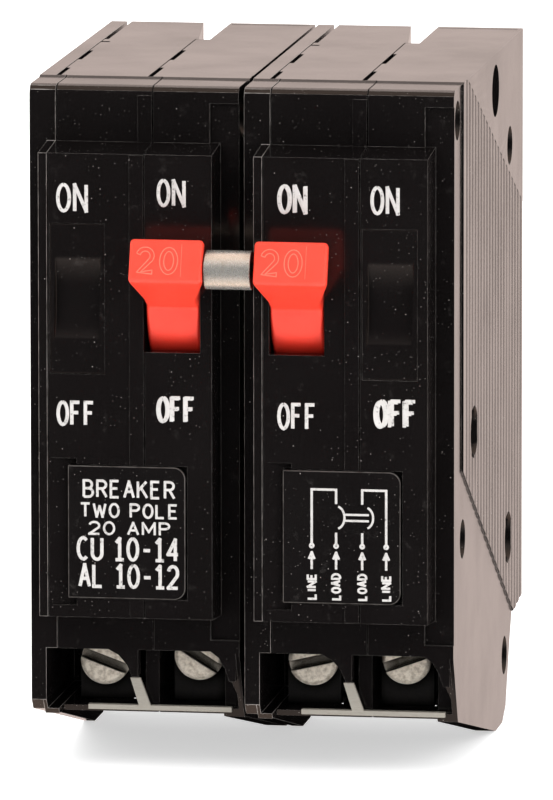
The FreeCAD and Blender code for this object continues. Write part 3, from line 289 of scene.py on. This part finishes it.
def fibre():
    """Pressed insulating board with short fibres in it."""
    skin = Shader("pale_fibre")
    hairs = skin.noise(1.0, 5, 0.6, skin.stretched((1.2, 9, 9), (0, 0.4, 0)))
    skin.set("Base Color", skin.mix(hairs, (0.36, 0.335, 0.29), (0.24, 0.22, 0.19)))
    skin.set("Roughness", 0.8)
    skin.set("Normal", skin.bump(hairs, 0.03, 0.8))
    return skin.material


def print_ink():
    """White ink, worn through in small spots."""
    skin = Shader("print_white")
    worn = skin.ramp(skin.noise(2.6, 7, 0.7), 0.56, 0.66, 0.0, 0.8)
    tone = skin.mix(skin.noise(0.8, 4), (0.66, 0.64, 0.62), (0.42, 0.40, 0.385))
    skin.set("Base Color", skin.mix(worn, tone, (0.05, 0.046, 0.045)))
    skin.set("Roughness", 0.55)
    skin.set("Normal", skin.bump(skin.noise(5.0, 5), 0.01, 0.6))
    return skin.material


CASE = case_plastic("case_black", roughness=0.16, dust=0.7)
LABEL = case_plastic("label_black", roughness=0.24, dust=0.8)
# Lighter bevel colours: a painted edge highlight, patchy like wear.
EDGE = worn_and_highlit_edge("case_edge", highlit_tone=(0.045, 0.039, 0.036), rubbed_and_highlit=(0.30, 0.275, 0.26))
LABEL_EDGE = worn_and_highlit_edge("label_edge", highlit_tone=(0.01, 0.009, 0.008), rubbed_and_highlit=(0.075, 0.069, 0.065))
RED = red_plastic("handle_red", highlight_lift=0.0)
# Paler red for the raised rating outline and parting line: a painted highlight.
RED_LINE = red_plastic("handle_red_line", highlight_lift=0.13)
SLEEVE = plated_steel(
    "zinc_steel", bright=(0.90, 0.87, 0.81), dark=(0.55, 0.47, 0.37),
    roughness=0.26, pits=3.0, pit_depth=0.02, metallic=0.8, gritty=0.08,
)
SCREW = plated_steel(
    "terminal_steel", bright=(0.93, 0.85, 0.73), dark=(0.5, 0.4, 0.29),
    roughness=0.4, pits=1.5, pit_depth=0.3, metallic=0.35, gritty=0.6,
)
BLACKENED = plated_steel(
    "black_steel", bright=(0.02, 0.018, 0.017), dark=(0.008, 0.007, 0.007),
    roughness=0.4, pits=3.0, pit_depth=0.02, metallic=0.3, gritty=0.5,
)
TIN = plain_metal("tin_plate", (0.66, 0.65, 0.63), roughness=0.32)
STEEL = plain_metal("inner_steel", (0.5, 0.5, 0.5), roughness=0.35)
COPPER = plain_metal("copper", (0.72, 0.39, 0.24), roughness=0.35)
FIBRE = fibre()
INK = print_ink()

SLOT_MATERIALS = {
    "case_black": CASE,
    "label_black": LABEL,
    "handle_red": RED,
    "zinc_steel": SLEEVE,
    "terminal_steel": SCREW,
    "black_steel": BLACKENED,
    "pale_fibre": FIBRE,
    "tin_plate": TIN,
    "inner_steel": STEEL,
    "copper": COPPER,
    "trip_plastic": LABEL,
}


# ---------------------------------------------------------------------------------------
# Mesh helpers
# ---------------------------------------------------------------------------------------
def soften(piece, width, segments=2):
    """Merge, clean and bevel the edges of a piece by modifiers."""
    weld = piece.modifiers.new("weld", "WELD")
    weld.merge_threshold = 0.004 * MM
    flat = piece.modifiers.new("flat", "DECIMATE")
    flat.decimate_type = "DISSOLVE"
    flat.angle_limit = math.radians(1)
    bevel = piece.modifiers.new("bevel", "BEVEL")
    bevel.width = width * MM
    bevel.segments = segments
    bevel.limit_method = "ANGLE"
    bevel.angle_limit = math.radians(30)
    bevel.use_clamp_overlap = True
    shade = piece.modifiers.new("shade", "WEIGHTED_NORMAL")
    shade.mode = "FACE_AREA"
    shade.weight = 100
    return bevel


def smooth(piece):
    """Smooth shading on every face."""
    for face in piece.data.polygons:
        face.use_smooth = True


def link(name, data, body, material):
    """A new piece on a body, with its material and slot."""
    piece = bpy.data.objects.new(name, data)
    bpy.context.scene.collection.objects.link(piece)
    data.materials.clear()
    data.materials.append(material)
    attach(piece, body)
    return piece


def dress_nodes():
    """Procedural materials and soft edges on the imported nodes."""
    slots = {item["node"]: item["material_slot"] for item in frame["record"]["subparts"]}
    for name, node in frame["nodes"].items():
        node.data.materials.clear()
        node.data.materials.append(SLOT_MATERIALS[slots[name]])
        # Case and label bevels take a second, lighter material: a painted edge highlight.
        if name.endswith(("left_cover", "centre_tray", "right_tray")):
            node.data.materials.append(EDGE)
            soften(node, CASE_ROUND).material = 1
        elif name.endswith("label_plate"):
            node.data.materials.append(LABEL_EDGE)
            soften(node, LABEL_ROUND).material = 1
        elif name.endswith("handle_blank"):
            soften(node, BLANK_ROUND)
        elif name.endswith(("screw", "clamp_plate", "rivets", "tie_sleeve", "strap", "stab_clip")):
            soften(node, METAL_ROUND)
        elif name.endswith("_handle"):
            soften(node, HANDLE_ROUND, segments=4).use_clamp_overlap = False
        smooth(node)


# ---------------------------------------------------------------------------------------
# Lettering: generic words and numbers in strokes
# ---------------------------------------------------------------------------------------
def bow(x, y, wide, tall, start, end, steps=14):
    """Points along an elliptic arc, angles in degrees."""
    return [
        (
            x + wide * math.cos(math.radians(start + (end - start) * step / steps)),
            y + tall * math.sin(math.radians(start + (end - start) * step / steps)),
        )
        for step in range(steps + 1)
    ]


ROUND = bow(0.3, 0.5, 0.3, 0.5, 90, 450, 24)
# Strokes of each sign, in heights from its left foot
STROKES = {
    "O": [ROUND],
    "0": [ROUND],
    "N": [[(0, 0), (0, 1), (0.6, 0), (0.6, 1)]],
    "F": [[(0, 0), (0, 1), (0.5, 1)], [(0, 0.54), (0.42, 0.54)]],
    "E": [[(0.5, 0), (0, 0), (0, 1), (0.5, 1)], [(0, 0.54), (0.42, 0.54)]],
    "L": [[(0, 1), (0, 0), (0.5, 0)]],
    "I": [[(0.1, 0), (0.1, 1)]],
    "A": [[(0, 0), (0.3, 1), (0.6, 0)], [(0.12, 0.36), (0.48, 0.36)]],
    "D": [[(0, 0), (0, 1), (0.2, 1)] + bow(0.2, 0.5, 0.4, 0.5, 90, -90) + [(0, 0)]],
    "C": [bow(0.32, 0.5, 0.32, 0.5, 50, 310)],
    "U": [[(0, 1), (0, 0.3)] + bow(0.3, 0.3, 0.3, 0.3, 180, 360) + [(0.6, 1)]],
    "P": [[(0, 0), (0, 1), (0.3, 1)] + bow(0.3, 0.76, 0.26, 0.24, 90, -90) + [(0, 0.52)]],
    "T": [[(0.3, 0), (0.3, 1)], [(0, 1), (0.6, 1)]],
    "R": [
        [(0, 0), (0, 1), (0.3, 1)] + bow(0.3, 0.76, 0.26, 0.24, 90, -90) + [(0, 0.52)],
        [(0.28, 0.52), (0.6, 0)],
    ],
    "K": [[(0, 0), (0, 1)], [(0.55, 1), (0, 0.42)], [(0.2, 0.62), (0.6, 0)]],
    "B": [
        [(0, 0), (0, 1), (0.28, 1)] + bow(0.28, 0.76, 0.24, 0.24, 90, -90) + [(0, 0.52)],
        [(0.28, 0.52)] + bow(0.3, 0.26, 0.28, 0.26, 90, -90) + [(0, 0)],
    ],
    "W": [[(0, 1), (0.2, 0), (0.4, 0.8), (0.6, 0), (0.8, 1)]],
    "M": [[(0, 0), (0, 1), (0.35, 0.25), (0.7, 1), (0.7, 0)]],
    "1": [[(0.05, 0.8), (0.28, 1), (0.28, 0)], [(0.02, 0), (0.54, 0)]],
    "2": [bow(0.3, 0.7, 0.29, 0.3, 165, -35) + [(0, 0), (0.6, 0)]],
    "4": [[(0.45, 0), (0.45, 1), (0, 0.3), (0.62, 0.3)]],
    "-": [[(0.08, 0.46), (0.5, 0.46)]],
}
# Left side of a sign to that of the next, in heights, and the part of it that is a gap
ADVANCE = {"I": 0.45, "-": 0.82, "1": 0.8, " ": 0.55, "W": 1.1, "M": 1.0}
PLAIN_ADVANCE = 0.88
GAP = 0.28


def word_strokes(text, tall, narrow=1.0):
    """Polylines of a line of text with its left foot at (0, 0), and the line's width."""
    lines, across = [], 0.0
    for letter in text:
        for stroke in STROKES.get(letter, []):
            lines.append([((across + x) * tall * narrow, y * tall) for x, y in stroke])
        across += ADVANCE.get(letter, PLAIN_ADVANCE)
    return lines, (across - GAP) * tall * narrow


def parted(points, reach):
    """A polyline split at its sharp corners, with both ends there drawn out to meet."""
    parts, part = [], [Vector(points[0])]
    for here, after in zip(points[1:], points[2:] + [None]):
        here = Vector(here)
        part.append(here)
        if after is None:
            continue
        ahead = (Vector(after) - here).normalized()
        behind = (here - part[-2]).normalized()
        if ahead.dot(behind) < 0.8:
            part[-1] = here + behind * reach
            parts.append(part)
            part = [here - ahead * reach]
    return parts + [part]


def ribbon(name, lines, thick, frame_matrix, body, material):
    """Flat rounded strokes along polylines drawn in the X-Z plane."""
    curve = bpy.data.curves.new(name, "CURVE")
    curve.dimensions = "3D"
    curve.bevel_depth = thick / 2
    curve.bevel_resolution = 2
    curve.use_fill_caps = True
    for points in lines:
        for part in parted(points, thick * 0.38):
            spline = curve.splines.new("POLY")
            spline.points.add(len(part) - 1)
            for point, (x, z) in zip(spline.points, part):
                point.co = (x, 0, z, 1)
    holder = bpy.data.objects.new(name, curve)
    bpy.context.scene.collection.objects.link(holder)
    mesh = bpy.data.meshes.new_from_object(holder)
    bpy.data.objects.remove(holder)
    flatten = Matrix.Scale(STROKE_HALF / (thick / 2), 4, Vector((0, 1, 0)))
    mesh.transform(frame_matrix @ Matrix.Translation((0, -STROKE_LIFT, 0)) @ flatten)
    piece = link(name, mesh, body, material)
    smooth(piece)
    return piece


def printed(name, text, box, thick, plane, ghost=0.0):
    """A printed line of text that fills a box (left, right, foot, top), in millimetres.

    A ghost is a second, shifted print of the same strokes, by that many metres.
    """
    left, right, foot, top = (value * MM for value in box)
    tall = top - foot - thick
    natural = word_strokes(text, tall)[1]
    narrow = (right - left - thick) / natural
    lines = word_strokes(text, tall, narrow)[0]
    lines = [[(left + thick / 2 + a, foot + thick / 2 + b) for a, b in stroke] for stroke in lines]
    if ghost:
        lines += [[(a + ghost, b + ghost * 0.5) for a, b in stroke] for stroke in lines]
    return ribbon(name, lines, thick, Matrix.Translation((0, plane, 0)), "case", INK)


def switch_words():
    """ON and OFF over and under each of the four handle positions."""
    words = (
        ("on_1", "ON", (-21.15, -17.33, 68.5, 72.05), 0.0),
        ("on_2", "ON", (-9.2, -5.7, 69.35, 72.75), 0.0),
        ("on_3", "ON", (5.12, 8.65, 68.8, 72.35), 0.1 * MM),
        ("on_4", "ON", (16.15, 19.65, 68.9, 72.4), 0.0),
        ("off_1", "OFF", (-21.2, -16.4, 43.1, 46.2), 0.0),
        ("off_2", "OFF", (-9.3, -4.55, 43.7, 46.9), 0.14 * MM),
        ("off_3", "OFF", (5.1, 9.95, 43.2, 46.5), 0.0),
        ("off_4", "OFF", (16.5, 21.6, 43.6, 47.0), 0.3 * MM),
    )
    for name, text, box, ghost in words:
        printed("print_" + name, text, box, SWITCH_STROKE, NOSE_Y, ghost)


def label_words():
    """Kind, poles, current and wire sizes on the left label."""
    rows = (
        ("BREAKER", (-18.05, -6.95, 34.65, 36.9), 0.32),
        ("TWO POLE", (-18.4, -6.5, 32.3, 34.15), 0.3),
        ("20 AMP", (-17.4, -7.5, 30.25, 31.95), 0.28),
        ("CU 10-14", (-18.8, -6.5, 27.15, 30.1), 0.42),
        ("AL 10-12", (-18.6, -6.5, 23.9, 26.9), 0.42),
    )
    for index, (text, box, thick) in enumerate(rows):
        printed("print_label_%d" % index, text, box, thick * MM, low("left_label_plate").y)


def wiring_diagram():
    """Four conductors with arrows, their brackets and the tie between the middle two."""
    at = Matrix.Translation((0, low("right_label_plate").y, 0))
    columns = [x * MM for x in (9.25, 12.15, 15.25, 18.1)]
    bracket, hook, inner_top = 36.3 * MM, 34.6 * MM, 31.2 * MM
    joint_z, arrow_tip, arrow_foot = 29.7 * MM, 28.8 * MM, 26.8 * MM
    barb_out, barb_down, ring = 0.34 * MM, 0.8 * MM, 0.2 * MM
    lines = []
    for outer, inner in ((0, 1), (3, 2)):
        corner = [(columns[outer], joint_z), (columns[outer], bracket)]
        lines.append(corner + [(columns[inner], bracket), (columns[inner], hook)])
        lines.append([(columns[inner], inner_top), (columns[inner], joint_z)])
    for x in columns:
        barb = arrow_tip - barb_down
        lines.append([(x, arrow_foot), (x, arrow_tip)])
        lines.append([(x - barb_out, barb), (x, arrow_tip), (x + barb_out, barb)])
        lines.append([(x + a, joint_z - ring / 2 + b) for a, b in bow(0, 0, ring, ring, 90, 450, 10)])
    ribbon("print_wires", lines, 0.3 * MM, at, "case", INK)
    middle, bar_gap = 33.0 * MM, 0.36 * MM
    first = columns[1] + 0.3 * MM
    last = columns[2] + 0.4 * MM
    bar = (first + 0.6 * MM, last + 0.4 * MM)
    tie = [
        bow(first - 0.3 * MM, middle, 1.0 * MM, 1.35 * MM, 75, -75),
        bow(last, middle, 0.9 * MM, 1.25 * MM, 75, -75),
        [(bar[0], middle + bar_gap), (bar[1], middle + bar_gap)],
        [(bar[0], middle - bar_gap), (bar[1], middle - bar_gap)],
    ]
    ribbon("print_tie", tie, 0.27 * MM, at, "case", INK)
    tall, wide, foot = 0.95 * MM, 3.0 * MM, 23.25 * MM
    for index, (x, text) in enumerate(zip(columns, ("LINE", "LOAD", "LOAD", "LINE"))):
        natural = word_strokes(text, tall)[1]
        strokes = word_strokes(text, tall, wide / natural)[0]
        turned = [[(x + tall / 2 - b, foot + a) for a, b in stroke] for stroke in strokes]
        ribbon("print_word_%d" % index, turned, 0.28 * MM, at, "case", INK)


# ---------------------------------------------------------------------------------------
# Handles
# ---------------------------------------------------------------------------------------
def outlined(points, gap):
    """The contour of a stroke: its two sides, joined at open ends."""
    path = [Vector(point) for point in points]
    closed = (path[0] - path[-1]).length < gap * 0.1
    sides = []
    for sign in (1, -1):
        side = []
        for index, point in enumerate(path):
            before = path[index - 1] if index else (path[-2] if closed else point)
            after = path[index + 1] if index < len(path) - 1 else (path[1] if closed else point)
            along = (after - before).normalized()
            side.append(point + Vector((-along.y, along.x)) * gap * sign)
        sides.append(side)
    if closed:
        return sides
    return [sides[0] + sides[1][::-1] + [sides[0][0]]]


def rating_numbers():
    """The rating moulded in outline on each paddle, beside the faint parting line."""
    tilt = Matrix.Rotation(-HANDLE_TILT, 4, "X")
    two = bow(0.3, 0.7, 0.3, 0.3, 165, -30) + [(0.05, 0.0), (0.62, 0.0)]
    tall, step, half_stroke = 2.75 * MM, 1.02, 0.24 * MM
    left, foot = -3.0 * MM, -1.42 * MM
    for module in MODULES:
        lines = []
        for start, stroke in ((0.0, two), (step, ROUND)):
            scaled = [((start + x) * tall, y * tall) for x, y in stroke]
            lines += outlined(scaled, half_stroke)
        lines = [[(left + x, foot + z) for x, z in line] for line in lines]
        place = Matrix.Translation((HANDLE_X[module], PIVOT.y, PIVOT.z))
        face = place @ tilt @ Matrix.Translation((0, -FACE_REACH, 0))
        ribbon("rating_" + module, lines, 0.13 * MM, face, "handles", RED_LINE)
        parting = [[(2.1 * MM, -1.9 * MM), (2.1 * MM, 2.0 * MM)]]
        ribbon("parting_" + module, parting, 0.06 * MM, face, "handles", RED_LINE)


# ---------------------------------------------------------------------------------------
# Stage, light and camera
# ---------------------------------------------------------------------------------------
def stage():
    """White floor that glossy rays don't see."""
    size = 6.0  # half its width, in metres
    mesh = bpy.data.meshes.new("floor")
    corners = [(-size, -size, 0), (size, -size, 0), (size, size, 0), (-size, size, 0)]
    mesh.from_pydata(corners, [], [(0, 1, 2, 3)])
    floor = bpy.data.objects.new("floor", mesh)
    bpy.context.scene.collection.objects.link(floor)
    floor.visible_glossy = False
    skin = Shader("floor_white")
    skin.set("Base Color", (0.93, 0.93, 0.93, 1))
    skin.set("Roughness", 1.0)
    skin.set("Specular IOR Level", 0.0)
    skin.set("Emission Color", (1, 1, 1, 1))
    skin.set("Emission Strength", 0.55)
    mesh.materials.append(skin.material)


def shade_card():
    """Dark card on the floor under the breaker, seen only in reflections: a painted shadow standing in for
    the breaker's own shade there.
    """
    mesh = bpy.data.meshes.new("shade_card")
    near, far, half, level = -20 * MM, 110 * MM, 25 * MM, 0.05 * MM
    corners = [(-half, near, level), (half, near, level), (half, far, level), (-half, far, level)]
    mesh.from_pydata(corners, [], [(0, 1, 2, 3)])
    card = bpy.data.objects.new("shade_card", mesh)
    bpy.context.scene.collection.objects.link(card)
    card.visible_camera = False
    card.visible_diffuse = False
    card.visible_shadow = False
    skin = Shader("card_dark")
    skin.set("Base Color", (0.02, 0.018, 0.017, 1))
    skin.set("Roughness", 1.0)
    skin.set("Specular IOR Level", 0.0)
    mesh.materials.append(skin.material)


def world():
    """White surroundings; what glossy surfaces see is dark in front and white behind."""
    surroundings = bpy.data.worlds.new("studio")
    bpy.context.scene.world = surroundings
    surroundings.use_nodes = True
    tree = surroundings.node_tree
    tree.nodes.clear()
    output = tree.nodes.new("ShaderNodeOutputWorld")
    ambient = tree.nodes.new("ShaderNodeBackground")
    ambient.inputs["Color"].default_value = (1, 1, 1, 1)
    ambient.inputs["Strength"].default_value = 0.95
    seen = tree.nodes.new("ShaderNodeBackground")
    path = tree.nodes.new("ShaderNodeLightPath")
    choose = tree.nodes.new("ShaderNodeMixShader")
    coordinates = tree.nodes.new("ShaderNodeTexCoord")
    split = tree.nodes.new("ShaderNodeSeparateXYZ")
    depth = tree.nodes.new("ShaderNodeMapRange")
    for socket, value in zip(("From Min", "From Max", "To Min", "To Max"), (-0.9, 0.6, 0.0, 1.0)):
        depth.inputs[socket].default_value = value
    tone = tree.nodes.new("ShaderNodeValToRGB")
    steps = (
        (0.0, (0.008, 0.007, 0.007)),
        (0.2, (0.55, 0.45, 0.40)),
        (0.5, (0.9, 0.66, 0.52)),
        (0.8, (1.0, 0.72, 0.58)),
        (1.0, (1.0, 0.82, 0.75)),
    )
    ramp = tone.color_ramp
    while len(ramp.elements) < len(steps):
        ramp.elements.new(0.5)
    for element, (spot, colour) in zip(ramp.elements, steps):
        element.position = spot
        element.color = (*colour, 1)
    tree.links.new(coordinates.outputs["Generated"], split.inputs[0])
    tree.links.new(split.outputs["Y"], depth.inputs["Value"])
    tree.links.new(depth.outputs["Result"], tone.inputs["Fac"])
    tree.links.new(tone.outputs["Color"], seen.inputs["Color"])
    tree.links.new(path.outputs["Is Glossy Ray"], choose.inputs[0])
    tree.links.new(ambient.outputs[0], choose.inputs[1])
    tree.links.new(seen.outputs[0], choose.inputs[2])
    tree.links.new(choose.outputs[0], output.inputs["Surface"])


LIGHT_AIM = Vector((0, 0, 40 * MM))


def softbox(name, place, size, power):
    """Square area light that points at the middle of the breaker."""
    light = bpy.data.lights.new(name, "AREA")
    light.shape = "SQUARE"
    light.size = size
    light.energy = power
    lamp = bpy.data.objects.new(name, light)
    bpy.context.scene.collection.objects.link(lamp)
    lamp.location = place
    lamp.visible_glossy = False
    lamp.rotation_euler = (LIGHT_AIM - Vector(place)).to_track_quat("-Z", "Y").to_euler()


def camera():
    """Long lens, from a little to the right and above."""
    aim = Vector((4.05 * MM, -22.9 * MM, 45.77 * MM))
    yaw, pitch, roll = math.radians(8.607), math.radians(8.677), math.radians(-0.055)
    distance = 1538.6 * MM
    forward = Vector((-math.sin(yaw) * math.cos(pitch), math.cos(yaw) * math.cos(pitch), -math.sin(pitch)))
    data = bpy.data.cameras.new("camera")
    data.sensor_width = 36
    data.lens = 586.8
    data.clip_start = 0.05
    data.clip_end = 50
    eye = bpy.data.objects.new("camera", data)
    bpy.context.scene.collection.objects.link(eye)
    eye.location = aim - forward * distance
    turn = forward.to_track_quat("-Z", "Y").to_matrix() @ Matrix.Rotation(roll, 3, "Z")
    eye.rotation_euler = turn.to_euler()
    bpy.context.scene.camera = eye


dress_nodes()
switch_words()
label_words()
wiring_diagram()
rating_numbers()
stage()
shade_card()
world()
softbox("key", place=(-0.5, -0.9, 0.9), size=0.7, power=6)
softbox("fill", place=(0.9, -0.5, 0.5), size=0.7, power=4)
softbox("back", place=(0.0, 0.9, 0.8), size=0.9, power=4)
camera()
bpy.context.scene.view_settings.view_transform = "Standard"
